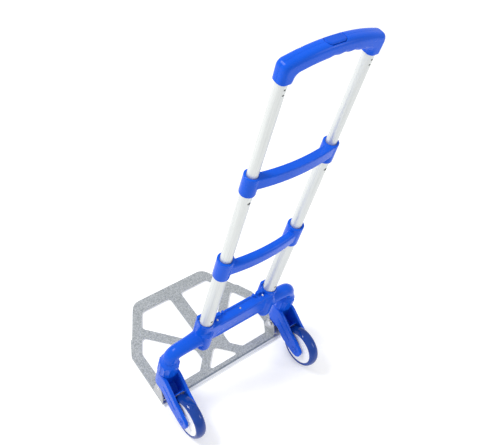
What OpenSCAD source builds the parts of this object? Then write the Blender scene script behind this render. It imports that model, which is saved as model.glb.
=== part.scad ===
// Folding two-wheel hand truck.
// Origin: on the floor, midway between the wheels and the front edge of the toe plate.
// +Z up, +X to the user's left, -Y forward over the toe plate.

/* [Toe plate] */
// Width across the side edges
plate_width = 390; // [370:1:400]
// Front edge to rear bead
plate_depth = 284; // [270:1:290]
// Width of the front edge between its two corners
plate_front_width = 224; // [200:1:240]
// Length of each chamfered front corner along the depth
plate_chamfer_depth = 132; // [110:1:140]
// Height of the load surface above the floor
plate_top = 6; // [5:0.5:7]
// Sheet thickness
plate_sheet = 3; // [2:0.5:4]

/* [Tubes] */
// Distance between the two tube centres
tube_gap = 184; // [176:1:190]
// Outer diameter of the lower tubes
lower_od = 31; // [30.6:0.1:31.4]
// Outer diameter of the middle tubes
middle_od = 24.7; // [24.3:0.1:24.9]
// Outer diameter of the upper tubes
upper_od = 20.8; // [20.4:0.1:21]
// Wall thickness of every tube
tube_wall = 1; // [0.8:0.1:1.1]
// How far each telescoping stage slides down
stage_travel = 190; // [150:1:190]

/* [Heights] */
// Rim of the base sockets
base_rim_z = 260; // [255:1:265]
// Bottom of the lower crossbar's collars
low_collar_z = 441; // [435:1:445]
// Bottom of the upper crossbar's collars
up_collar_z = 693; // [690:1:696]
// Underside of the handle's end blocks
handle_bottom_z = 935; // [933:1:937]
// Top of the grip at its centre
handle_top_z = 984; // [980:1:988]

/* [Wheels] */
// Wheel diameter
wheel_d = 110; // [106:1:112]
// Tyre width
tyre_width = 26.4; // [25:0.2:27]
// Distance between the two wheel centre planes
wheel_track = 354; // [350:1:358]
// Distance from a swivel post's axis back to its wheel's axle
trail = 104; // [102:1:106]

/* [Hidden] */
$fn = 64;

blue = [0.13, 0.33, 0.90];
deep_blue = [0.07, 0.19, 0.68];
metal = [0.84, 0.85, 0.84];
plate_grey = [0.66, 0.68, 0.69];
steel = [0.75, 0.76, 0.77];
white = [0.95, 0.95, 0.95];

run_gap = 0.05;     // radial clearance of a pin that turns in its bore
slide_gap = 0.3;    // clearance of the telescoping parts
tube_x = tube_gap / 2;
tube_y = 41;
post_x = wheel_track / 2;
post_y = 43;
post_r = 8;
wheel_r = wheel_d / 2;
axle_y = post_y + trail;
axle_z = wheel_r;
axle_r = 5;
plate_back = 82;
plate_front = plate_back - plate_depth;
hinge_y = 46;
hinge_z = 38;
hinge_pin_r = 4;
bracket_sheet = 2;

// Rounding of polygon corners ------------------------------------------------
function unit(v) = v / norm(v);
// Arc that replaces corner q between its neighbours p and s
function corner_arc(p, q, s, r, n) =
    r <= 0 ? [q] :
    let (a = unit(p - q), b = unit(s - q), half = acos(a * b) / 2,
         centre = q + unit(a + b) * r / sin(half),
         start = q + a * r / tan(half) - centre,
         t0 = atan2(start.y, start.x),
         turn = (180 - 2 * half) * (cross(a, b) > 0 ? -1 : 1))
    [for (k = [0:n]) centre + r * [cos(t0 + turn * k / n), sin(t0 + turn * k / n)]];
// Outline with each corner rounded by one radius or by its own radius from a list
function rounded(pts, r, n = 5) =
    [for (i = [0:len(pts) - 1])
        each corner_arc(pts[(i + len(pts) - 1) % len(pts)], pts[i], pts[(i + 1) % len(pts)],
            is_list(r) ? r[i] : r, n)];
// The given half outline and its mirror image in the x = 0 line
function both_halves(pts) = concat(pts, [for (i = [len(pts) - 1:-1:0]) [-pts[i].x, pts[i].y]]);
function flip_x(pts) = [for (p = pts) [-p.x, p.y]];

// Draws its children on the user's left (+X) or, mirrored, on the right
module on_side(side) {
    if (side > 0) children();
    else mirror([1, 0, 0]) children();
}
module both_sides() {
    for (side = [1, -1]) on_side(side) children();
}
// Cylinders along X and Y
module x_cyl(r, x0, x1, y, z) {
    translate([x0, y, z]) rotate([0, 90, 0]) cylinder(r = r, h = x1 - x0);
}
module y_cyl(r, x, y0, y1, z) {
    translate([x, y1, z]) rotate([90, 0, 0]) cylinder(r = r, h = y1 - y0);
}
module box(lo, hi) {
    translate(lo) cube(hi - lo);
}
module pipe(x, y, r, wall, z0, z1) {
    translate([x, y, z0]) difference() {
        cylinder(r = r, h = z1 - z0);
        translate([0, 0, -1]) cylinder(r = r - wall, h = z1 - z0 + 2);
    }
}

// Base frame -------------------------------------------------------------------
socket_r = 19;
socket_floor_z = 187;
socket_bottom_z = socket_floor_z - 4;
arm_r = 17;
arm_end_z = 168;
arm_bend = 21;
arm_slope = 6;
arm_y = 42;
arc_z = arm_end_z + 2;
elbow_x = post_x - arm_bend * (1 - sin(arm_slope));
elbow_z = arc_z + arm_bend * cos(arm_slope);
post_top_z = arm_end_z + 14;
bar_y0 = 36;
bar_y1 = 60;
bar_z0 = 190;
bar_z1 = 250;
foot_r = 17;
foot_y = tube_y + 9;
foot_z = 171;
boss_x = 66;
boss_y = bar_y0 + 13;

// Faces of a tube of rings, each ring a closed loop of the same number of points
function ring_faces(rings, sides) = concat(
    [for (i = [0:rings - 2], k = [0:sides - 1]) let (m = (k + 1) % sides)
        [i * sides + k, i * sides + m, (i + 1) * sides + m, (i + 1) * sides + k]],
    [[for (k = [sides - 1:-1:0]) k], [for (k = [0:sides - 1]) (rings - 1) * sides + k]]);
// Rings of one arm as [x, z, heading below horizontal, radius]: it leaves the socket a little
// fatter, bends down on one arc and ends vertical above the post
function arm_point(dx) = [elbow_x - dx, elbow_z + dx * tan(arm_slope), arm_slope, arm_r + dx * dx / 1100];
arm_rings = concat(
    [for (dx = [elbow_x - tube_x, 44, 28, 12]) arm_point(dx)],
    [for (t = [arm_slope:12:90])
        [post_x - arm_bend + arm_bend * sin(t), arc_z + arm_bend * cos(t), t, arm_r]],
    [[post_x, arm_end_z, 90, arm_r]]);
module base_arm() {
    sides = 28;
    polyhedron(points = [for (ring = arm_rings, k = [0:sides - 1])
        let (c = ring[3] * cos(k * 360 / sides), v = ring[3] * sin(k * 360 / sides))
        [ring.x + v * sin(ring.z), arm_y - c, ring.y + v * cos(ring.z)]],
        faces = ring_faces(len(arm_rings), sides));
    translate([post_x, arm_y, arm_end_z]) cylinder(r = arm_r + 1.2, h = 4);
}
// One socket: round behind the tube, squared and slightly taller in front of it
module base_socket() {
    translate([tube_x, tube_y, socket_bottom_z])
        cylinder(r = socket_r, h = base_rim_z - socket_bottom_z);
    translate([tube_x, tube_y, socket_bottom_z]) linear_extrude(height = base_rim_z + 5 - socket_bottom_z)
        polygon(rounded([[-15, -20], [15, -20], [17, -12], [-17, -12]], [5, 5, 0, 0]));
}
module base_foot() {
    translate([tube_x - 1, foot_y, foot_z]) {
        sphere(r = foot_r);
        cylinder(r = foot_r, h = 52);
        translate([0, 0, 52]) cylinder(r1 = foot_r, r2 = foot_r - 4, h = 10);
    }
}
module base_crossbar() {
    translate([-tube_x, 0, 0]) rotate([90, 0, 90]) linear_extrude(height = 2 * tube_x)
        polygon(rounded([[bar_y0, bar_z0], [bar_y1, bar_z0], [bar_y1, bar_z1], [bar_y0, bar_z1]],
            [3, 3, 4, 2]));
    // ledge along the foot of the rear face
    box([-64, bar_y1 - 1, bar_z0 + 4], [64, bar_y1 + 1.6, bar_z0 + 9]);
    // raised rail, tabs, hooks and screw bosses on the front of the top face
    box([-38, bar_y0, bar_z1 - 1], [38, bar_y0 + 5, bar_z1 + 4]);
    both_sides() {
        box([42, bar_y0, bar_z1 - 1], [48, bar_y0 + 7, bar_z1 + 9]);
        difference() {
            box([53, bar_y0, bar_z1 - 1], [71, bar_y0 + 8, bar_z1 + 12]);
            y_cyl(3.6, 61, bar_y0 - 1, bar_y0 + 9, bar_z1 + 5);
        }
        translate([boss_x, boss_y, bar_z1 - 1]) cylinder(r = 5, h = 4);
    }
}
module base_hollows() {
    // groove along the top of the rear face, and the ribbed hollow under the crossbar
    box([-64, bar_y1 - 2.4, bar_z1 - 9], [64, bar_y1 + 1, bar_z1 - 5]);
    for (i = [-2:1]) box([i * 34 + 1.5, bar_y0 + 3, bar_z0 - 1], [i * 34 + 32.5, bar_y1 - 3, bar_z1 - 3.5]);
    both_sides() {
        translate([tube_x, tube_y, socket_floor_z + 3]) cylinder(r = lower_od / 2, h = 100);
        translate([post_x, post_y, arm_end_z - 1]) cylinder(r = post_r, h = post_top_z - arm_end_z + 1);
    }
}
module base_screw_holes() {
    for (x = [-boss_x, 0, boss_x]) translate([x, boss_y, bar_z1 - 3]) cylinder(r = 1.6, h = 10);
}
module base_frame() {
    color(blue) difference() {
        union() {
            base_crossbar();
            both_sides() {
                base_arm();
                base_socket();
                base_foot();
            }
        }
        base_hollows();
        base_screw_holes();
    }
}
module pan_screw(shank) {
    translate([0, 0, -shank]) cylinder(r = 1.6, h = shank);
    cylinder(r1 = 2.6, r2 = 1.7, h = 1.4);
}
module base_screws() {
    color(steel) {
        translate([0, boss_y, bar_z1]) pan_screw(3);
        both_sides() translate([boss_x, boss_y, bar_z1 + 3]) pan_screw(6);
    }
}

// Telescoping tubes --------------------------------------------------------------
lower_top_z = low_collar_z + 51;
middle_bottom_z = 412;
middle_top_z = up_collar_z + 39;
upper_bottom_z = 640;
upper_top_z = handle_bottom_z + 20;
low_hole_z = base_rim_z + 17;
lock_z = up_collar_z - 19;
detent_z = low_hole_z + stage_travel;
module tube_hole(r, od, z) {
    y_cyl(r, tube_x, tube_y + od / 4, tube_y + od, z);
}
module lower_tube(side) {
    color(metal) on_side(side) difference() {
        pipe(tube_x, tube_y, lower_od / 2, tube_wall, socket_floor_z + 3, lower_top_z);
        tube_hole(3, lower_od, low_hole_z);
    }
}
module middle_tube(side) {
    color(metal) on_side(side) difference() {
        pipe(tube_x, tube_y, middle_od / 2, tube_wall, middle_bottom_z, middle_top_z);
        tube_hole(3.2, middle_od, lock_z);
        tube_hole(2.6, middle_od, detent_z);
    }
}
module upper_tube(side) {
    color(metal) on_side(side) difference() {
        pipe(tube_x, tube_y, upper_od / 2, tube_wall, upper_bottom_z, upper_top_z);
        tube_hole(2.8, upper_od, lock_z);
        for (dz = [11, 21]) tube_hole(1.8, upper_od, handle_bottom_z - dz);
    }
}
// Plastic sleeve on a tube's lower end, running inside the next larger tube
module middle_bush(side) {
    color(white) on_side(side)
        pipe(tube_x, tube_y, lower_od / 2 - tube_wall - slide_gap,
            (lower_od - middle_od) / 2 - tube_wall - slide_gap, middle_bottom_z, middle_bottom_z + 24);
}
module upper_bush(side) {
    color(white) on_side(side)
        pipe(tube_x, tube_y, middle_od / 2 - tube_wall - slide_gap,
            (middle_od - upper_od) / 2 - tube_wall - slide_gap, upper_bottom_z, upper_bottom_z + 18);
}
// Friction buttons that hold the middle stage, seated in the middle tubes' wall
module stage_detents() {
    color(steel) both_sides()
        y_cyl(2.6, tube_x, tube_y + middle_od / 2 - tube_wall + 0.3,
            tube_y + lower_od / 2 - tube_wall - 2 * slide_gap, detent_z);
}

// Crossbars ------------------------------------------------------------------------
// Bowed bar between two collars: the section is swept on a large arc that bulges to the rear
module bowed_bar(y_front, y_back, bow, z0, z1, corner) {
    half = tube_x;
    arc_r = (half * half + bow * bow) / (2 * bow);
    sweep = 2 * asin(half / arc_r);
    translate([0, y_front + bow - arc_r, 0]) rotate([0, 0, 90 - sweep / 2])
        rotate_extrude(angle = sweep, $fn = 360)
            polygon(rounded([[arc_r, z0], [arc_r + y_back - y_front, z0],
                [arc_r + y_back - y_front, z1], [arc_r, z1]], corner));
}
module crossbar(od_out, z0, collar_h, wall, inner_od, bar_z0, bar_z1, corner) {
    color(blue) difference() {
        union() {
            bowed_bar(38, 55.5, 9, bar_z0, bar_z1, corner);
            both_sides() translate([tube_x, tube_y, z0]) cylinder(r = od_out / 2 + wall, h = collar_h);
        }
        both_sides() translate([tube_x, tube_y, z0 - 1]) {
            cylinder(r = od_out / 2, h = collar_h - 4);
            cylinder(r = inner_od / 2 + slide_gap, h = collar_h + 2);
        }
    }
}
module crossbar_lower() {
    crossbar(lower_od, low_collar_z, 56, 2.6, middle_od, low_collar_z + 9, low_collar_z + 45, [8, 8, 8, 4]);
}
module crossbar_upper() {
    crossbar(middle_od, up_collar_z, 44, 3.3, upper_od, up_collar_z + 17, up_collar_z + 44, [2, 3, 2, 2]);
}

// Swivel posts and plate hinge blocks -------------------------------------------------
collar_r = 23;
collar_z0 = 118;
collar_z1 = 158;
fork_bottom_z = 62;
fork_top_z = 117;
module swivel_collar(side) {
    ribs = 12;
    color(blue) on_side(side) translate([post_x, post_y, 0]) difference() {
        union() {
            translate([0, 0, collar_z0]) cylinder(r = collar_r, h = collar_z1 - collar_z0);
            translate([0, 0, collar_z1]) cylinder(r1 = collar_r - 1, r2 = arm_r, h = arm_end_z - collar_z1);
            for (i = [0:ribs - 1]) rotate([0, 0, i * 360 / ribs])
                translate([collar_r - 1, 0, collar_z0 + 4])
                    cylinder(r = 2.8, h = collar_z1 - collar_z0 - 8, $fn = 20);
        }
        translate([0, 0, collar_z0 - 1]) cylinder(r = post_r, h = arm_end_z - collar_z0 + 2);
    }
}
// Steel pin from the arm down through the fork's barrel into the hinge block
module swivel_post(side) {
    color(steel) on_side(side) translate([post_x, post_y, 50])
        cylinder(r = post_r, h = post_top_z - 50);
}
module hinge_block(side) {
    color(blue) on_side(side) difference() {
        union() {
            x_cyl(13, post_x - 16, post_x + 15.5, hinge_y, hinge_z);
            translate([post_x, post_y, 40]) cylinder(r = 13, h = fork_bottom_z - 40.5);
        }
        translate([post_x, post_y, 50]) cylinder(r = post_r, h = 20);
        x_cyl(hinge_pin_r, post_x - 30, post_x + 30, hinge_y, hinge_z);
    }
}
module hinge_pin(side) {
    color(steel) on_side(side) {
        x_cyl(hinge_pin_r, ear_in_x - 1.5, ear_out_x + bracket_sheet + 0.4, hinge_y, hinge_z);
        x_cyl(6.5, ear_in_x - 3, ear_in_x - 1, hinge_y, hinge_z);
    }
}

// Toe plate and its hinge brackets ------------------------------------------------------
half_w = plate_width / 2;
half_f = plate_front_width / 2;
chamfer_y = plate_front + plate_chamfer_depth;
step_y = plate_front + 88;
spoke_half = 17;
bead_r = 3.2;
outer_half = [[half_w, plate_back - 3], [half_w, chamfer_y], [half_w - 22, step_y + 4],
    [half_w - 28, step_y], [half_f, plate_front]];
outer_radii = [0, 12, 3, 3, 32];
side_window = [[half_w - 51, -105], [half_w - 26, -64], [half_w - 28, 20], [half_w - 48, 51],
    [69, 51], [44, 26], [44, -6]];
side_window_r = [8, 12, 10, 6, 5, 5, 20];
front_window = [[spoke_half, plate_front + 33], [half_f - 8, plate_front + 33],
    [half_w - 64, -126], [spoke_half, -9]];
rear_window = [[50, 62], [-50, 62], [0, 13]];
module plate_outline(inset) {
    pts = rounded(both_halves(outer_half), concat(outer_radii, [for (i = [4:-1:0]) outer_radii[i]]));
    if (inset == 0) polygon(pts);
    else polygon([for (p = pts) [p.x * (1 - inset / half_w),
        plate_back - 3 + (p.y - plate_back + 3) * (1 - inset / plate_depth)]]);
}
module toe_plate() {
    color(plate_grey) difference() {
        union() {
            linear_extrude(height = plate_top) plate_outline(0);
            // rolled bead along the rear edge
            x_cyl(bead_r, -half_w, half_w, plate_back - bead_r, bead_r);
        }
        // the sheet is hollow underneath, inside its turned-down edge
        difference() {
            translate([0, 0, -1]) linear_extrude(height = plate_top - plate_sheet + 1)
                intersection() {
                    plate_outline(3.5);
                    translate([-200, plate_front]) square([400, plate_depth - 10]);
                }
            // ribs along the centre spoke and across the hub
            box([-1.5, plate_front, -2], [1.5, plate_back, plate_top]);
            box([-half_w + 60, 62, -2], [half_w - 60, 65, plate_top]);
        }
        for (s = [1, -1]) {
            translate([0, 0, -2]) linear_extrude(height = 20)
                polygon(rounded(s > 0 ? side_window : flip_x(side_window), side_window_r));
            translate([0, 0, -2]) linear_extrude(height = 20)
                polygon(rounded(s > 0 ? front_window : flip_x(front_window), [9, 9, 9, 9]));
            for (p = rivet_places) translate([s * p.x, p.y, -2]) cylinder(r = 2.5, h = 20);
        }
        translate([0, 0, -2]) linear_extrude(height = 20) polygon(rounded(rear_window, [6, 6, 8]));
    }
}
ear_in_x = post_x - 19;
ear_out_x = post_x + 16;
bracket_y0 = 30;
bracket_y1 = 76;
rivet_places = [[post_x - 8, 37], [post_x + 9, 39], [post_x - 8, 66], [post_x + 9, 66]];
// Upright ear: a rounded triangle round the hinge pin
module bracket_ear(x) {
    translate([x, 0, 0]) rotate([90, 0, 90]) linear_extrude(height = bracket_sheet)
        polygon(rounded([[bracket_y0 + 1, plate_top], [hinge_y + 28, plate_top],
            [hinge_y + 12, hinge_z + 11], [hinge_y - 12, hinge_z + 11]], [0, 3, 9, 9]));
}
module hinge_bracket(side) {
    color(metal) on_side(side) difference() {
        union() {
            translate([0, 0, plate_top]) linear_extrude(height = bracket_sheet)
                polygon(rounded([[ear_in_x, bracket_y0], [half_w, bracket_y0],
                    [half_w, bracket_y1], [ear_in_x, bracket_y1]], [3, 3, 3, 3]));
            bracket_ear(ear_in_x);
            bracket_ear(ear_out_x);
        }
        x_cyl(hinge_pin_r + run_gap, ear_in_x - 5, ear_out_x + 5, hinge_y, hinge_z);
        for (p = rivet_places) translate([p.x, p.y, plate_top - 1]) cylinder(r = 2.5, h = 5);
    }
}
module bracket_rivets() {
    color(steel) both_sides() for (p = rivet_places) translate([p.x, p.y, 0]) {
        translate([0, 0, 1.4]) cylinder(r = 2.5, h = plate_top + bracket_sheet - 1.4);
        translate([0, 0, 1.4]) cylinder(r = 4, h = plate_top - plate_sheet - 1.4);
        translate([0, 0, plate_top + bracket_sheet]) cylinder(r1 = 4.4, r2 = 2.6, h = 1.8);
    }
}

// Forks and wheels ----------------------------------------------------------------------
fork_half = 23;
leg_in = 15;
leg_end_r = 20;
guard_r = wheel_r + 2.5;
guard_end_y = 55;
pocket_outline = [[10, fork_bottom_z + 4], [22, fork_bottom_z + 4], [38, 60], [43.5, 57.5],
    [46, 72], [52, 86], [guard_end_y + 1, 86], [guard_end_y + 1, 130], [10, 130]];
// Side outline of a leg, from the post's axis (y = 0) back to the axle
leg_outline = [[-12, fork_bottom_z], [20, fork_bottom_z], [36, 57], [56, 44], [trail - 8, axle_z - 19],
    [trail, axle_z - leg_end_r], [trail + leg_end_r, axle_z - leg_end_r], [trail + leg_end_r, axle_z + 12],
    [trail - 8, axle_z + 27], [70, 92], [30, 114], [20, fork_top_z], [-12, fork_top_z]];
leg_radii = [0, 10, 20, 20, 0, 0, 19, 14, 14, 20, 10, 0, 0];
module fork(side) {
    color(blue) on_side(side) translate([post_x, post_y, 0]) difference() {
        union() {
            translate([-fork_half, 0, 0]) rotate([90, 0, 90]) linear_extrude(height = 2 * fork_half)
                polygon(rounded(leg_outline, leg_radii));
            translate([0, 0, fork_bottom_z]) cylinder(r = fork_half, h = fork_top_z - fork_bottom_z);
        }
        // round the front corners of the barrel
        difference() {
            box([-fork_half - 1, -30, fork_bottom_z - 1], [fork_half + 1, 0, fork_top_z + 1]);
            translate([0, 0, fork_bottom_z - 2]) cylinder(r = fork_half, h = fork_top_z);
        }
        // pocket behind the barrel and space for the wheel, with a wall left between them
        difference() {
            box([-leg_in, 17, 0], [leg_in, trail + 40, 200]);
            difference() {
                box([-leg_in - 1, 10, 0], [leg_in + 1, guard_end_y, 200]);
                x_cyl(guard_r, -leg_in - 2, leg_in + 2, trail, axle_z);
                translate([-leg_in - 2, 0, 0]) rotate([90, 0, 90]) linear_extrude(height = 2 * leg_in + 4)
                    polygon(pocket_outline);
            }
        }
        translate([0, 0, fork_bottom_z - 1]) cylinder(r = post_r + run_gap, h = 80);
        x_cyl(axle_r, -fork_half - 1, fork_half + 1, trail, axle_z);
        for (s = [1, -1]) {
            x_cyl(8, s * (fork_half - 1) - 2, s * (fork_half - 1) + 2, trail, axle_z);
            // long shallow groove down each outer face
            translate([s * fork_half, 22, 92]) rotate([-26, 0, 0]) box([-1.8, 0, -2], [1.8, 62, 2]);
        }
    }
}
module axle(side) {
    color(steel) on_side(side) translate([post_x, post_y, 0]) difference() {
        union() {
            x_cyl(axle_r, -fork_half + 1, fork_half - 1, trail, axle_z);
            x_cyl(7.6, fork_half - 3, fork_half - 0.6, trail, axle_z);
            x_cyl(7.6, -fork_half + 0.6, -fork_half + 3, trail, axle_z);
        }
        x_cyl(2.5, fork_half - 2.6, fork_half + 1, trail, axle_z);
    }
}
rim_r = 45;
hub_r = 15;
module spin_x(side) {
    on_side(side) translate([post_x, axle_y, axle_z]) rotate([0, 90, 0]) children();
}
module rim(side) {
    w = tyre_width / 2 - 1.2;
    web = 11.5;
    color(white) spin_x(side) difference() {
        rotate_extrude($fn = 96) polygon([[hub_r - 6, -14], [hub_r - 1, -14], [hub_r, -13],
            [hub_r + 1, -web], [rim_r - 8, -web + 0.6], [rim_r - 5, -w], [rim_r - 1.5, -w],
            [rim_r - 1.5, w], [rim_r - 5, w], [rim_r - 8, web - 0.6], [hub_r + 1, web],
            [hub_r, 13], [hub_r - 1, 14], [hub_r - 6, 14]]);
        // round dimples in both faces of the web
        for (i = [0:4], s = [-1, 1]) rotate([0, 0, i * 72]) translate([26.5, 0, s * (web + 1)])
            cylinder(r = 6, h = 4.4, center = true);
    }
}
module tyre(side) {
    w = tyre_width / 2;
    color(deep_blue) spin_x(side) rotate_extrude($fn = 96)
        polygon(concat([[rim_r - 1.5, -w + 1.2], [rim_r, -w + 0.5], [rim_r + 2, -w]],
            [for (a = [-66:11:66]) [wheel_r - 8 + 8 * cos(a), w * sin(a) / sin(78)]],
            [[rim_r + 2, w], [rim_r, w - 0.5], [rim_r - 1.5, w - 1.2]]));
}
// Two ball bearings in each hub
module bearings(side) {
    color(steel) spin_x(side) for (s = [-1, 1]) translate([0, 0, s * 9.5 - 4]) difference() {
        cylinder(r = hub_r - 6, h = 8);
        translate([0, 0, -1]) cylinder(r = axle_r + run_gap, h = 10);
    }
}

// Handle ------------------------------------------------------------------------------------
grip_h = 27.5;
grip_half = 13.4;
grip_round = 9.5;
grip_rise = 12;
grip_arc = (tube_x * tube_x + grip_rise * grip_rise) / (2 * grip_rise);
block_in = tube_x - grip_half;
block_out = tube_x + grip_half;
corner_r = 10;
inner_r = 14;
button_x = 5;
button_l = 40;
button_w = 18;
channel_z0 = 961;
channel_z1 = 968;
yoke_z0 = channel_z0 + 3;
screw_x = 60;
screw_z = 972.5;
screw_y = tube_y - grip_half + 4;
button_z0 = 971;
spring_z0 = channel_z0 - 1.2;
spring_h = yoke_z0 - spring_z0;
// Height of the grip's top and of its underside, with shallow finger waves right of the middle
function grip_top(x) = handle_top_z - grip_arc + sqrt(grip_arc * grip_arc - x * x);
function finger_wave(x) = x < 18 && x > -66 ? 0.9 * (1 - cos(360 * (18 - x) / 21)) : 0;
function grip_under(x) = grip_top(x) - grip_h + finger_wave(x);
// Pairs of an outer and an inner point, in X and Z, from one end block over the grip to the other
corner_c = [block_out - corner_r, grip_top(block_out - corner_r) - corner_r];
fillet_c = [block_in - inner_r, grip_under(block_in - inner_r) - inner_r];
function half_pairs(s) = concat(
    [[[s * block_out, handle_bottom_z], [s * block_in, handle_bottom_z]]],
    [for (a = [0:18:90])
        [[s * (corner_c.x + corner_r * cos(a)), corner_c.y + corner_r * sin(a)],
         [s * (fillet_c.x + inner_r * cos(a)), fillet_c.y + inner_r * sin(a)]]]);
grip_step = 3.5;
grip_end = 17 * grip_step;
fan = (corner_c.x - 8) / grip_end;
grip_pairs = concat(half_pairs(1),
    [for (x = [grip_end:-grip_step:-grip_end]) [[x * fan, grip_top(x * fan)], [x, grip_under(x)]]],
    [for (i = [len(half_pairs(-1)) - 1:-1:0]) half_pairs(-1)[i]]);
// Half section between the inner point (v = 0) and the outer point (v = length), to one side
function half_section(len_v, side) = let (h = grip_half, r = grip_round)
    concat([[0, 0], [0, side * (h - r)]],
        [for (a = [18:18:90]) [r - r * cos(a), side * (h - r + r * sin(a))]],
        [for (a = [90:-18:18]) [len_v - r + r * cos(a), side * (h - r + r * sin(a))]],
        [[len_v, side * (h - r)], [len_v, 0]]);
module handle_shell(side) {
    rings = len(grip_pairs);
    sides = len(half_section(30, side));
    difference() {
        polyhedron(points = [for (p = grip_pairs) let (d = unit(p[0] - p[1]))
            for (q = half_section(norm(p[0] - p[1]), side))
                [p[1].x + d.x * q.x, tube_y + q.y, p[1].y + d.y * q.x]],
            faces = side > 0 ? ring_faces(rings, sides)
                : [for (f = ring_faces(rings, sides)) [for (i = [len(f) - 1:-1:0]) f[i]]]);
        both_sides() {
            translate([tube_x, tube_y, handle_bottom_z - 1])
                cylinder(r = upper_od / 2, h = upper_top_z - handle_bottom_z + 1);
            translate([tube_x, tube_y, handle_bottom_z]) cylinder(r = 4, h = channel_z1 - handle_bottom_z);
        }
        // channel for the yoke, pocket for its spring and opening for the button
        box([-tube_x - 4, tube_y - 4, channel_z0], [tube_x + 4, tube_y + 4, channel_z1]);
        translate([button_x, tube_y, spring_z0]) cylinder(r = 4.4, h = 4);
        translate([button_x, tube_y, channel_z1 - 1]) stadium(button_l + 1.4, button_w + 1.4, 60);
        for (x = [-screw_x, screw_x]) {
            y_cyl(1.8, x, screw_y - 1, tube_y + 9, screw_z);
            y_cyl(3.6, x, 0, screw_y, screw_z);
        }
    }
}
module stadium(l, w, h) {
    box([-(l - w) / 2, -w / 2, 0], [(l - w) / 2, w / 2, h]);
    for (s = [1, -1]) translate([s * (l - w) / 2, 0, 0]) cylinder(r = w / 2, h = h);
}
module handle_front() {
    color(blue) handle_shell(-1);
}
module handle_rear() {
    color(blue) handle_shell(1);
}
module handle_screws() {
    color(steel) for (x = [-screw_x, screw_x]) {
        y_cyl(1.8, x, screw_y, tube_y + 9, screw_z);
        y_cyl(3.4, x, screw_y - 2, screw_y, screw_z);
    }
}
module release_button() {
    color(deep_blue) translate([button_x, tube_y, 0]) {
        translate([0, 0, button_z0]) stadium(button_l, button_w, handle_top_z - 1 - button_z0);
        translate([0, 0, handle_top_z - 1.1]) stadium(button_l - 3, button_w - 3, 1);
    }
}
// Bar in the grip with a stem to the button and a push rod down each upper tube
rod_bottom_z = lock_z + 10;
module release_yoke() {
    color(steel) {
        box([-tube_x - 3.4, tube_y - 3.4, yoke_z0], [tube_x + 3.4, tube_y + 3.4, yoke_z0 + 3]);
        translate([button_x, tube_y, yoke_z0 + 2]) cylinder(r = 3.4, h = button_z0 - yoke_z0 - 2);
        both_sides() translate([tube_x, tube_y, rod_bottom_z])
            cylinder(r = 3, h = yoke_z0 + 1 - rod_bottom_z);
    }
}
// Helical spring between its pocket and the yoke
module helix(r, wire, turns, h) {
    steps = 14;
    sides = 8;
    n = steps * turns;
    pts = [for (i = [0:n]) let (a = i * 360 / steps)
        for (k = [0:sides - 1]) let (b = k * 360 / sides)
            [(r + wire * cos(b)) * cos(a), (r + wire * cos(b)) * sin(a),
                wire + (h - 2 * wire) * i / n + wire * sin(b)]];
    sides_faces = [for (i = [0:n - 1], k = [0:sides - 1])
        let (m = (k + 1) % sides)
            [i * sides + k, (i + 1) * sides + k, (i + 1) * sides + m, i * sides + m]];
    polyhedron(points = pts, faces = concat(sides_faces, [[for (k = [0:sides - 1]) k],
        [for (k = [sides - 1:-1:0]) n * sides + k]]));
}
module release_spring() {
    color(steel) translate([button_x, tube_y, spring_z0]) helix(3.6, 0.25, 3, spring_h);
}
// Locking pins at the foot of the upper tubes
module lock_guide(side) {
    color(white) on_side(side) difference() {
        translate([tube_x, tube_y, lock_z - 14]) cylinder(r = upper_od / 2 - tube_wall, h = 32);
        translate([tube_x, tube_y, lock_z + 5]) cylinder(r = 3 + slide_gap, h = 20);
        y_cyl(2.5 + run_gap, tube_x, tube_y - 5, tube_y + 20, lock_z);
    }
}
module lock_pin(side) {
    color(steel) on_side(side)
        y_cyl(2.5, tube_x, tube_y - 1, tube_y + middle_od / 2 - tube_wall - 2 * slide_gap, lock_z);
}

base_frame();
base_screws();
lower_tube(1);  // lower_tube_left
lower_tube(-1);  // lower_tube_right
crossbar_lower();
swivel_collar(1);  // swivel_collar_left
swivel_collar(-1);  // swivel_collar_right
swivel_post(1);  // swivel_post_left
swivel_post(-1);  // swivel_post_right
hinge_block(1);  // hinge_block_left
hinge_block(-1);  // hinge_block_right
hinge_pin(1);  // hinge_pin_left
hinge_pin(-1);  // hinge_pin_right
middle_tube(1);  // middle_tube_left
middle_tube(-1);  // middle_tube_right
crossbar_upper();
middle_bush(1);  // middle_bush_left
middle_bush(-1);  // middle_bush_right
stage_detents();
upper_tube(1);  // upper_tube_left
upper_tube(-1);  // upper_tube_right
upper_bush(1);  // upper_bush_left
upper_bush(-1);  // upper_bush_right
lock_guide(1);  // lock_guide_left
lock_guide(-1);  // lock_guide_right
handle_front();
handle_rear();
handle_screws();
release_button();
release_yoke();
release_spring();
lock_pin(1);  // lock_pin_left
lock_pin(-1);  // lock_pin_right
toe_plate();
hinge_bracket(1);  // hinge_bracket_left
hinge_bracket(-1);  // hinge_bracket_right
bracket_rivets();
fork(1);  // fork_left
fork(-1);  // fork_right
axle(1);  // axle_left
axle(-1);  // axle_right
rim(1);  // rim_left
rim(-1);  // rim_right
tyre(1);  // tyre_left
tyre(-1);  // tyre_right
bearings(1);  // bearings_left
bearings(-1);  // bearings_right
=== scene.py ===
import math

import bmesh
import bpy
from mathutils import Matrix, Vector


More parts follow.
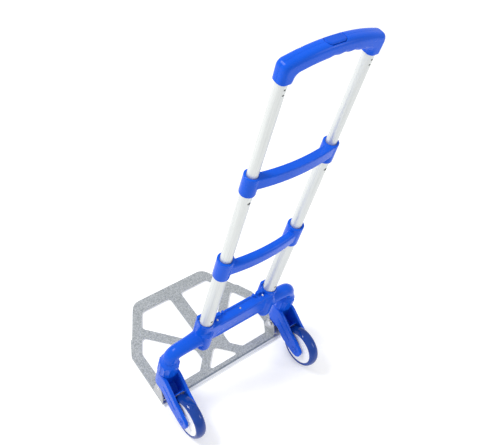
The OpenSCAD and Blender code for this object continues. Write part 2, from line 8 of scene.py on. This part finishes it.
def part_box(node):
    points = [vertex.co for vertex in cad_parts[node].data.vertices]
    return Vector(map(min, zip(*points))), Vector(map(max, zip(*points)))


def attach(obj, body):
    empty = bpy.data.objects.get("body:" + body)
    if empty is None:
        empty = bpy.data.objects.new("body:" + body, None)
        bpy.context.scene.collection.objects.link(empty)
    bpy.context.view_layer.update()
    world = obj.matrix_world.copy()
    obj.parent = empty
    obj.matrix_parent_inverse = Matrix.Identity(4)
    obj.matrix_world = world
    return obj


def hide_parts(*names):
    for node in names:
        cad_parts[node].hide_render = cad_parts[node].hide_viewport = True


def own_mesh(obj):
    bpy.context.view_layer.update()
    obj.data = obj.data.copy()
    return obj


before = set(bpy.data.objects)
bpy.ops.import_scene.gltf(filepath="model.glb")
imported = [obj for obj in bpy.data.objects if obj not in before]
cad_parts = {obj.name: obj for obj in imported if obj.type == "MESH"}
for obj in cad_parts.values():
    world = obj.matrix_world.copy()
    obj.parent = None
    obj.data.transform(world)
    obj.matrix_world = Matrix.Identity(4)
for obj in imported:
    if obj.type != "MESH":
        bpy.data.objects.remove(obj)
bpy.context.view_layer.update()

scene = bpy.context.scene

# Studio: a large sheet of matt white paper under the truck, a big soft key panel high on one side,
# a smaller fill panel opposite, and an even white surround. Stands in front of the plain camera.
paper_material = bpy.data.materials.new("studio_paper")
paper_material.use_nodes = True
paper_shader = paper_material.node_tree.nodes["Principled BSDF"]
paper_shader.inputs["Base Color"].default_value = (0.94, 0.94, 0.94, 1)
paper_shader.inputs["Emission Color"].default_value = (1, 1, 1, 1)
paper_shader.inputs["Emission Strength"].default_value = 0.22
paper_shader.inputs["Roughness"].default_value = 0.9
paper_shader.inputs["Specular IOR Level"].default_value = 0.1
paper_bm = bmesh.new()
bmesh.ops.create_grid(paper_bm, x_segments=1, y_segments=1, size=9)
bmesh.ops.translate(paper_bm, vec=(0, 0, -0.0004), verts=paper_bm.verts)
paper_mesh = bpy.data.meshes.new("studio_paper")
paper_bm.to_mesh(paper_mesh)
paper_bm.free()
paper_mesh.materials.append(paper_material)
paper = bpy.data.objects.new("studio_paper", paper_mesh)
scene.collection.objects.link(paper)

world = bpy.data.worlds.new("studio_surround")
world.use_nodes = True
world.node_tree.nodes["Background"].inputs["Color"].default_value = (1.0, 1.0, 1.0, 1)
world.node_tree.nodes["Background"].inputs["Strength"].default_value = 0.74
scene.world = world
scene.view_settings.view_transform = "Standard"


def soft_panel(name, place, aim, width, height, power):
    """Rectangular studio light at place, facing aim."""
    lamp = bpy.data.lights.new(name, "AREA")
    lamp.shape = "RECTANGLE"
    lamp.size = width
    lamp.size_y = height
    lamp.energy = power
    panel = bpy.data.objects.new(name, lamp)
    panel.location = place
    panel.rotation_euler = (Vector(aim) - Vector(place)).to_track_quat("-Z", "Y").to_euler()
    scene.collection.objects.link(panel)


soft_panel("key_panel", (1.5, -1.3, 2.9), (0, 0, 0.35), 0.9, 0.9, 58)
soft_panel("fill_panel", (-1.9, 2.1, 1.9), (0, 0, 0.4), 0.5, 1.2, 11)

# Camera: stands behind and to the left of the truck, well above the handle, rolled a little.
camera_data = bpy.data.cameras.new("camera")
camera_data.sensor_fit = "HORIZONTAL"
camera_data.sensor_width = 36
camera_data.lens = 47.81
camera_data.shift_x = 0.0018
camera_data.shift_y = 0.0051
camera_data.clip_end = 50
camera = bpy.data.objects.new("camera", camera_data)
camera_right = Vector((-0.7789, 0.5938, 0.2017)).normalized()
camera_back = Vector((0.5080, 0.4089, 0.7581)).normalized()
camera_up = camera_back.cross(camera_right).normalized()
camera_right = camera_up.cross(camera_back)
camera_turn = Matrix((camera_right, camera_up, camera_back)).transposed().to_4x4()
camera.matrix_world = Matrix.Translation((0.6793, 0.5270, 1.4936)) @ camera_turn
scene.collection.objects.link(camera)
scene.camera = camera

# Blue mouldings: the base casting with its two sockets and arms. Injection moulded ABS in royal
# blue with a fine sheen and softened edges, pressed over the lower tubes and screwed on top.


def new_material(name):
    """Empty principled material. Returns it with its tree and its shader."""
    material = bpy.data.materials.new(name)
    material.use_nodes = True
    tree = material.node_tree
    return material, tree, tree.nodes["Principled BSDF"]


def object_noise(tree, scale, detail=3.0, stretch=(1, 1, 1)):
    """Noise on Object coordinates in metres, stretched along the axes."""
    place = tree.nodes.new("ShaderNodeTexCoord")
    mapping = tree.nodes.new("ShaderNodeMapping")
    mapping.inputs["Scale"].default_value = stretch
    noise = tree.nodes.new("ShaderNodeTexNoise")
    noise.inputs["Scale"].default_value = scale
    noise.inputs["Detail"].default_value = detail
    tree.links.new(place.outputs["Object"], mapping.inputs["Vector"])
    tree.links.new(mapping.outputs["Vector"], noise.inputs["Vector"])
    return noise.outputs["Fac"]


def spread(tree, source, low, high):
    """Maps a noise value on to the range low to high."""
    node = tree.nodes.new("ShaderNodeMapRange")
    node.inputs["From Min"].default_value = 0.3
    node.inputs["From Max"].default_value = 0.7
    node.inputs["To Min"].default_value = low
    node.inputs["To Max"].default_value = high
    tree.links.new(source, node.inputs["Value"])
    return node.outputs["Result"]


def two_tone(tree, source, dark, light):
    """Colour that runs from dark to light with a noise value."""
    ramp = tree.nodes.new("ShaderNodeValToRGB")
    ramp.color_ramp.elements[0].position = 0.34
    ramp.color_ramp.elements[0].color = (*dark, 1)
    ramp.color_ramp.elements[1].position = 0.66
    ramp.color_ramp.elements[1].color = (*light, 1)
    tree.links.new(source, ramp.inputs["Fac"])
    return ramp.outputs["Color"]


def add_bump(tree, shader, source, strength, distance):
    """Bump of that height in metres from a noise value."""
    bump = tree.nodes.new("ShaderNodeBump")
    bump.inputs["Strength"].default_value = strength
    bump.inputs["Distance"].default_value = distance
    tree.links.new(source, bump.inputs["Height"])
    tree.links.new(bump.outputs["Normal"], shader.inputs["Normal"])


def moulded_plastic(name, dark, light, rough_low, rough_high, grain, sheen=0.14):
    """Coloured moulding: slow drift of colour and gloss, fine grain in the surface."""
    material, tree, shader = new_material(name)
    drift = object_noise(tree, 14, 2)
    tree.links.new(two_tone(tree, drift, dark, light), shader.inputs["Base Color"])
    wear = object_noise(tree, 60, 4)
    tree.links.new(spread(tree, wear, rough_low, rough_high), shader.inputs["Roughness"])
    add_bump(tree, shader, object_noise(tree, 1400, 2), grain, 0.0001)
    shader.inputs["Specular IOR Level"].default_value = sheen
    return material


def soften(nodes, voxel, passes):
    """One closed mesh in the joined shape of the CAD nodes, with moulded, softened edges."""
    bm = bmesh.new()
    for node in nodes:
        bm.from_mesh(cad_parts[node].data)
    bmesh.ops.remove_doubles(bm, verts=bm.verts, dist=0.00001)
    mesh = bpy.data.meshes.new("draft")
    bm.to_mesh(mesh)
    bm.free()
    draft = bpy.data.objects.new("draft", mesh)
    scene.collection.objects.link(draft)
    remesh = draft.modifiers.new("skin", "REMESH")
    remesh.mode = "VOXEL"
    remesh.voxel_size = voxel
    ease = draft.modifiers.new("ease", "SMOOTH")
    ease.factor = 0.5
    ease.iterations = passes
    graph = bpy.context.evaluated_depsgraph_get()
    soft_mesh = bpy.data.meshes.new_from_object(draft.evaluated_get(graph))
    bpy.data.objects.remove(draft)
    return soft_mesh


def put_in(mesh, name, body, material, node):
    """Places a finished mesh in the scene as a piece that rides body and stands for the CAD node."""
    mesh.name = name
    for face in mesh.polygons:
        face.use_smooth = True
    mesh.materials.clear()
    mesh.materials.append(material)
    piece = bpy.data.objects.new(name, mesh)
    scene.collection.objects.link(piece)
    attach(piece, body)
    if node:
        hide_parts(node)
    return piece


def moulded_copy(node, name, body, material, voxel, passes):
    """Copy of a CAD node with moulded, softened edges, riding the same body and standing for it."""
    return put_in(soften([node], voxel, passes), name, body, material, node)


royal_blue = moulded_plastic("royal_blue_abs", (0.004, 0.090, 0.64), (0.006, 0.104, 0.72),
                             0.20, 0.28, 0.10)
moulded_copy("base_frame", "base_moulding", "base", royal_blue,
             voxel=0.0013, passes=3)

# Swivel knuckles: ribbed blue collars under the arms and the pivot blocks that carry the toe
# plate's hinge pins. Moulded in the same ABS and pinned to the steel swivel posts.
for side in ("left", "right"):
    moulded_copy("swivel_collar_" + side, "ribbed_collar_" + side, "base", royal_blue,
                 voxel=0.0009, passes=2)
    moulded_copy("hinge_block_" + side, "pivot_block_" + side, "base", royal_blue,
                 voxel=0.0010, passes=4)

# Crossbars: two bowed blue mouldings that clamp the pairs of tubes, each with a round collar at
# its ends. The lower one belongs to the base, the upper one slides with the middle tubes.
moulded_copy("crossbar_lower", "lower_bow", "base", royal_blue,
             voxel=0.0012, passes=4)
moulded_copy("crossbar_upper", "upper_bow", "middle_stage", royal_blue,
             voxel=0.0012, passes=4)

# Grip: two blue shells screwed together round the tops of the upper tubes, with a seam along
# the middle and shallow waves for the fingers underneath.
seam_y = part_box("handle_front")[1][1]
seam_gap = 0.0001
whole_grip = soften(["handle_front", "handle_rear"], voxel=0.0009, passes=4)
for shell, clear_side in (("front", 1), ("rear", -1)):
    bm = bmesh.new()
    bm.from_mesh(whole_grip)
    bmesh.ops.bisect_plane(bm, geom=bm.verts[:] + bm.edges[:] + bm.faces[:], dist=0.0000001,
                           plane_co=(0, seam_y - seam_gap * clear_side, 0),
                           plane_no=(0, clear_side, 0), clear_outer=True)
    rim_edges = [edge for edge in bm.edges if edge.is_boundary]
    bmesh.ops.triangle_fill(bm, edges=rim_edges, use_beauty=True, normal=(0, clear_side, 0))
    for edge in rim_edges:
        edge.smooth = False
    shell_mesh = bpy.data.meshes.new("grip_shell")
    bm.to_mesh(shell_mesh)
    bm.free()
    put_in(shell_mesh, "grip_" + shell + "_shell", "top_stage", royal_blue,
           "handle_" + shell)

# Release button: an oval key of a slightly darker blue, moulded in one piece. It sits flush in the
# top of the grip, with a dark gap round it, and is pushed up by the spring under the yoke.
button_blue = moulded_plastic("button_blue_abs", (0.003, 0.074, 0.56), (0.004, 0.086, 0.62),
                              0.20, 0.28, 0.10)
moulded_copy("release_button", "release_key", "release", button_blue,
             voxel=0.0006, passes=5)

# Forks: blue mouldings, each with a barrel that turns on the swivel post, a pocket behind it and
# two legs that hold the axle. Thick walls with rounded edges and a groove down each outer face.
for side in ("left", "right"):
    moulded_copy("fork_" + side, "fork_moulding_" + side, "fork_" + side, royal_blue,
                 voxel=0.0012, passes=5)

# Axle caps: small domed blue plugs with a dimple, pressed over both ends of each axle, in the
# round seats at the tips of the fork legs.
cap_r = 0.0079
cap_turns = 40
cap_profile = [(0, -0.0004), (0.0017, -0.0004), (0.0021, 0.0013), (0.0040, 0.0012),
               (0.0058, 0.0009), (0.0071, 0.0005), (cap_r, -0.0001), (cap_r, -0.0022), (0, -0.0022)]
for side in ("left", "right"):
    low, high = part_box("axle_" + side)
    middle = (Vector(low) + Vector(high)) / 2
    bm = bmesh.new()
    for face_x, outward in ((low[0], -1), (high[0], 1)):
        rings = []
        for radius, rise in cap_profile:
            count = cap_turns if radius else 1
            rings.append([bm.verts.new((face_x + outward * rise,
                                        middle.y + radius * math.cos(math.tau * i / cap_turns),
                                        middle.z + radius * math.sin(math.tau * i / cap_turns)))
                          for i in range(count)])
        for first, second in zip(rings, rings[1:]):
            for i in range(cap_turns):
                corners = [first[i % len(first)], first[(i + 1) % len(first)],
                           second[(i + 1) % len(second)], second[i % len(second)]]
                bm.faces.new(list(dict.fromkeys(corners)))
    bmesh.ops.recalc_face_normals(bm, faces=bm.faces)
    mesh = bpy.data.meshes.new("axle_caps")
    bm.to_mesh(mesh)
    bm.free()
    put_in(mesh, "axle_caps_" + side, "fork_" + side, royal_blue, None)

# Tyres: solid deep blue polyurethane, cast on to the rims, glossy with faint mould haze.
tyre_material, tyre_tree, tyre_shader = new_material("deep_blue_polyurethane")
tyre_tree.links.new(two_tone(tyre_tree, object_noise(tyre_tree, 30, 3), (0.004, 0.040, 0.25),
                             (0.006, 0.052, 0.32)), tyre_shader.inputs["Base Color"])
tyre_tree.links.new(spread(tyre_tree, object_noise(tyre_tree, 90, 4), 0.06, 0.12),
                    tyre_shader.inputs["Roughness"])
tyre_shader.inputs["Specular IOR Level"].default_value = 0.3
add_bump(tyre_tree, tyre_shader, object_noise(tyre_tree, 700, 2), 0.10, 0.0001)
tyre_depth = 0.0115
crown = 0.008
crown_steps = 9
crown_step_angle = 8
crown_half_angle = math.radians(76)
lip = [(0.0012, 0), (0.0003, 0.0022)]
tyre_turns = 120
for side in ("left", "right"):
    low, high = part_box("tyre_" + side)
    middle = (Vector(low) + Vector(high)) / 2
    outer_r = (high[2] - low[2]) / 2
    half_width = (high[0] - low[0]) / 2
    seat_r = outer_r - tyre_depth
    bm = bmesh.new()
    section = []
    for step in range(-crown_steps, crown_steps + 1):
        angle = math.radians(step * crown_step_angle)
        section.append((half_width * math.sin(angle) / math.sin(crown_half_angle),
                        outer_r - crown + crown * math.cos(angle)))
    section = ([(inset - half_width, seat_r + rise) for inset, rise in lip] + section
               + [(half_width - inset, seat_r + rise) for inset, rise in reversed(lip)])
    ring = [bm.verts.new((middle.x + across, middle.y, middle.z + radius)) for across, radius in section]
    edges = [bm.edges.new((ring[i], ring[(i + 1) % len(ring)])) for i in range(len(ring))]
    bmesh.ops.spin(bm, geom=ring + edges, cent=middle, axis=(1, 0, 0), angle=math.tau, steps=tyre_turns,
                   use_merge=True)
    bmesh.ops.remove_doubles(bm, verts=bm.verts, dist=0.000001)
    bmesh.ops.recalc_face_normals(bm, faces=bm.faces)
    for face in bm.faces:
        face.smooth = True
    mesh = bpy.data.meshes.new("cast_tyre_" + side)
    bm.to_mesh(mesh)
    bm.free()
    mesh.materials.append(tyre_material)
    piece = bpy.data.objects.new("cast_tyre_" + side, mesh)
    scene.collection.objects.link(piece)
    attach(piece, "wheel_" + side)
    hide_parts("tyre_" + side)

# CAD nodes that stay: their loose triangles are welded and shaded smooth by angle.


def dress(nodes, material, split=32):
    """Gives CAD nodes one material and smooth shading that breaks at sharp edges."""
    for node in nodes:
        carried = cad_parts[node]
        carried.data.materials.clear()
        carried.data.materials.append(material)
        for face in carried.data.polygons:
            face.use_smooth = True
        weld = carried.modifiers.new("weld", "WELD")
        weld.merge_threshold = 0.00001
        creases = carried.modifiers.new("creases", "EDGE_SPLIT")
        creases.split_angle = math.radians(split)


def pair(name):
    return [name + "_left", name + "_right"]


# Rims: white glass-filled nylon discs with dimpled webs, moulded round the bearings.
rim_white = moulded_plastic("white_nylon", (0.92, 0.925, 0.93), (0.95, 0.953, 0.955), 0.28, 0.38, 0.08,
                            0.3)
dress(pair("rim"), rim_white)

# Tubes: three pairs of drawn aluminium tubes, satin anodised, with fine lines along their length.
# The bores are painted near black as shade, so the punched holes read as black dots.
tube_material, tube_tree, tube_shader = new_material("satin_anodised_tube")
tube_shader.inputs["Metallic"].default_value = 0.6
tube_axis = [(low_edge + high_edge) / 2 for low_edge, high_edge in zip(*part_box("lower_tube_left"))]
draw_lines = object_noise(tube_tree, 1, 3, (1500, 1500, 9))
outside = two_tone(tube_tree, draw_lines, (0.60, 0.625, 0.62), (0.74, 0.76, 0.75))
tube_place = tube_tree.nodes.new("ShaderNodeTexCoord")
mirrored = tube_tree.nodes.new("ShaderNodeVectorMath")
mirrored.operation = "ABSOLUTE"
from_axis = tube_tree.nodes.new("ShaderNodeVectorMath")
from_axis.operation = "SUBTRACT"
from_axis.inputs[1].default_value = (tube_axis[0], tube_axis[1], 0)
flat = tube_tree.nodes.new("ShaderNodeVectorMath")
flat.operation = "MULTIPLY"
flat.inputs[1].default_value = (1, 1, 0)
which_way = tube_tree.nodes.new("ShaderNodeSeparateXYZ")
sign_x = tube_tree.nodes.new("ShaderNodeMath")
sign_x.operation = "SIGN"
facing = tube_tree.nodes.new("ShaderNodeSeparateXYZ")
facing_x = tube_tree.nodes.new("ShaderNodeMath")
facing_x.operation = "MULTIPLY"
normal_mirrored = tube_tree.nodes.new("ShaderNodeCombineXYZ")
outwards = tube_tree.nodes.new("ShaderNodeVectorMath")
outwards.operation = "DOT_PRODUCT"
# Painted shade: faces turned towards the tube axis, inside the bores, are coloured near black where
# shade falls in the tubes.
in_bore = tube_tree.nodes.new("ShaderNodeMath")
in_bore.operation = "LESS_THAN"
in_bore.inputs[1].default_value = -0.001
bore_painted_shade = tube_tree.nodes.new("ShaderNodeMix")
bore_painted_shade.data_type = "RGBA"
bore_painted_shade.inputs[7].default_value = (0.012, 0.012, 0.012, 1)
for source, target in (
        (tube_place.outputs["Object"], mirrored.inputs[0]),
        (mirrored.outputs["Vector"], from_axis.inputs[0]),
        (from_axis.outputs["Vector"], flat.inputs[0]),
        (tube_place.outputs["Object"], which_way.inputs[0]),
        (which_way.outputs["X"], sign_x.inputs[0]),
        (tube_place.outputs["Normal"], facing.inputs[0]),
        (sign_x.outputs["Value"], facing_x.inputs[0]),
        (facing.outputs["X"], facing_x.inputs[1]),
        (facing_x.outputs["Value"], normal_mirrored.inputs["X"]),
        (facing.outputs["Y"], normal_mirrored.inputs["Y"]),
        (flat.outputs["Vector"], outwards.inputs[0]),
        (normal_mirrored.outputs["Vector"], outwards.inputs[1]),
        (outwards.outputs["Value"], in_bore.inputs[0]),
        (in_bore.outputs["Value"], bore_painted_shade.inputs["Factor"]),
        (outside, bore_painted_shade.inputs[6]),
        (bore_painted_shade.outputs[2], tube_shader.inputs["Base Color"])):
    tube_tree.links.new(source, target)
tube_tree.links.new(spread(tube_tree, draw_lines, 0.38, 0.50), tube_shader.inputs["Roughness"])
add_bump(tube_tree, tube_shader, draw_lines, 0.10, 0.00005)
dress(pair("lower_tube") + pair("middle_tube") + pair("upper_tube") + ["release_yoke"], tube_material)

# Toe plate: pressed aluminium sheet with a turned-down edge and a rolled bead at the back. Its top has a
# fine mottled grey coat, with painted shade darkening the gutter before the bead; the bead is bare,
# lightened as a painted highlight.
plate_material, plate_tree, plate_shader = new_material("mottled_plate")
mottle = object_noise(plate_tree, 420, 2)
coat = two_tone(plate_tree, mottle, (0.27, 0.295, 0.31), (0.54, 0.565, 0.58))
plate_place = plate_tree.nodes.new("ShaderNodeTexCoord")
plate_axes = plate_tree.nodes.new("ShaderNodeSeparateXYZ")
band_from = 0.05
band_to = 0.08
gutter_y = 0.071
bead_y = 0.0758
bands = plate_tree.nodes.new("ShaderNodeMapRange")
bands.inputs["From Min"].default_value = band_from
bands.inputs["From Max"].default_value = band_to
bead_ramp = plate_tree.nodes.new("ShaderNodeValToRGB")
bead_ramp.color_ramp.interpolation = "CONSTANT"
bead_ramp.color_ramp.elements[0].color = (1, 1, 1, 1)
bead_ramp.color_ramp.elements[1].position = (bead_y - band_from) / (band_to - band_from)
bead_ramp.color_ramp.elements[1].color = (0, 0, 0, 1)
# Painted shade: the coat is multiplied darker and bluer in the gutter strip before the bead.
gutter_painted_shade = plate_tree.nodes.new("ShaderNodeValToRGB")
gutter_painted_shade.color_ramp.interpolation = "CONSTANT"
gutter_painted_shade.color_ramp.elements[0].color = (1, 1, 1, 1)
gutter_painted_shade.color_ramp.elements[1].position = (gutter_y - band_from) / (band_to - band_from)
gutter_painted_shade.color_ramp.elements[1].color = (0.52, 0.57, 0.64, 1)
shaded = plate_tree.nodes.new("ShaderNodeMix")
shaded.data_type = "RGBA"
shaded.blend_type = "MULTIPLY"
shaded.inputs["Factor"].default_value = 1
# The bead strip takes one light grey: bare metal colour, lightened as a painted highlight along the
# roll.
bead_with_painted_highlight = plate_tree.nodes.new("ShaderNodeMix")
bead_with_painted_highlight.data_type = "RGBA"
bead_with_painted_highlight.inputs[6].default_value = (0.74, 0.76, 0.78, 1)
for source, target in (
        (plate_place.outputs["Object"], plate_axes.inputs["Vector"]),
        (plate_axes.outputs["Y"], bands.inputs["Value"]),
        (bands.outputs["Result"], bead_ramp.inputs["Fac"]),
        (bands.outputs["Result"], gutter_painted_shade.inputs["Fac"]),
        (coat, shaded.inputs[6]),
        (gutter_painted_shade.outputs["Color"], shaded.inputs[7]),
        (bead_ramp.outputs["Color"], bead_with_painted_highlight.inputs["Factor"]),
        (shaded.outputs[2], bead_with_painted_highlight.inputs[7]),
        (bead_with_painted_highlight.outputs[2], plate_shader.inputs["Base Color"])):
    plate_tree.links.new(source, target)
plate_shader.inputs["Metallic"].default_value = 0.35
plate_tree.links.new(spread(plate_tree, mottle, 0.42, 0.60), plate_shader.inputs["Roughness"])
add_bump(plate_tree, plate_shader, mottle, 0.35, 0.0002)
dress(["toe_plate"], plate_material)

# Hinge brackets: folded sheet metal ears riveted to the rear corners of the toe plate.
bracket_material, bracket_tree, bracket_shader = new_material("satin_bracket")
bracket_shader.inputs["Metallic"].default_value = 0.9
rolling = object_noise(bracket_tree, 1, 3, (60, 900, 900))
bracket_tree.links.new(two_tone(bracket_tree, rolling, (0.42, 0.43, 0.44), (0.52, 0.53, 0.54)),
                       bracket_shader.inputs["Base Color"])
bracket_tree.links.new(spread(bracket_tree, rolling, 0.28, 0.40), bracket_shader.inputs["Roughness"])
dress(pair("hinge_bracket"), bracket_material)

# Pins, screws, rivets, posts, axles, bearings and the spring: bright zinc-plated steel.
steel_material, steel_tree, steel_shader = new_material("bright_zinc")
steel_shader.inputs["Metallic"].default_value = 1.0
plating = object_noise(steel_tree, 400, 3)
steel_tree.links.new(two_tone(steel_tree, plating, (0.58, 0.60, 0.62), (0.72, 0.73, 0.74)),
                     steel_shader.inputs["Base Color"])
steel_tree.links.new(spread(steel_tree, plating, 0.20, 0.32), steel_shader.inputs["Roughness"])
dress(["base_screws", "handle_screws", "bracket_rivets", "stage_detents"]
      + pair("swivel_post") + pair("hinge_pin") + pair("axle") + pair("bearings") + pair("lock_pin"),
      steel_material)

# Release spring: a small zinc-plated coil under the yoke in the grip, on its seat in the rear shell.
bm = bmesh.new()
bm.from_mesh(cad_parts["release_spring"].data)
bmesh.ops.remove_doubles(bm, verts=bm.verts, dist=0.00001)
mesh = bpy.data.meshes.new("coil_spring")
bm.to_mesh(mesh)
bm.free()
coil = put_in(mesh, "coil_spring", "top_stage", steel_material, "release_spring")
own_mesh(coil)

# Bushes and pin guides inside the tubes: plain white acetal.
acetal = moulded_plastic("white_acetal", (0.76, 0.76, 0.76), (0.82, 0.82, 0.82), 0.40, 0.50, 0.06)
dress(pair("middle_bush") + pair("upper_bush") + pair("lock_guide"), acetal)
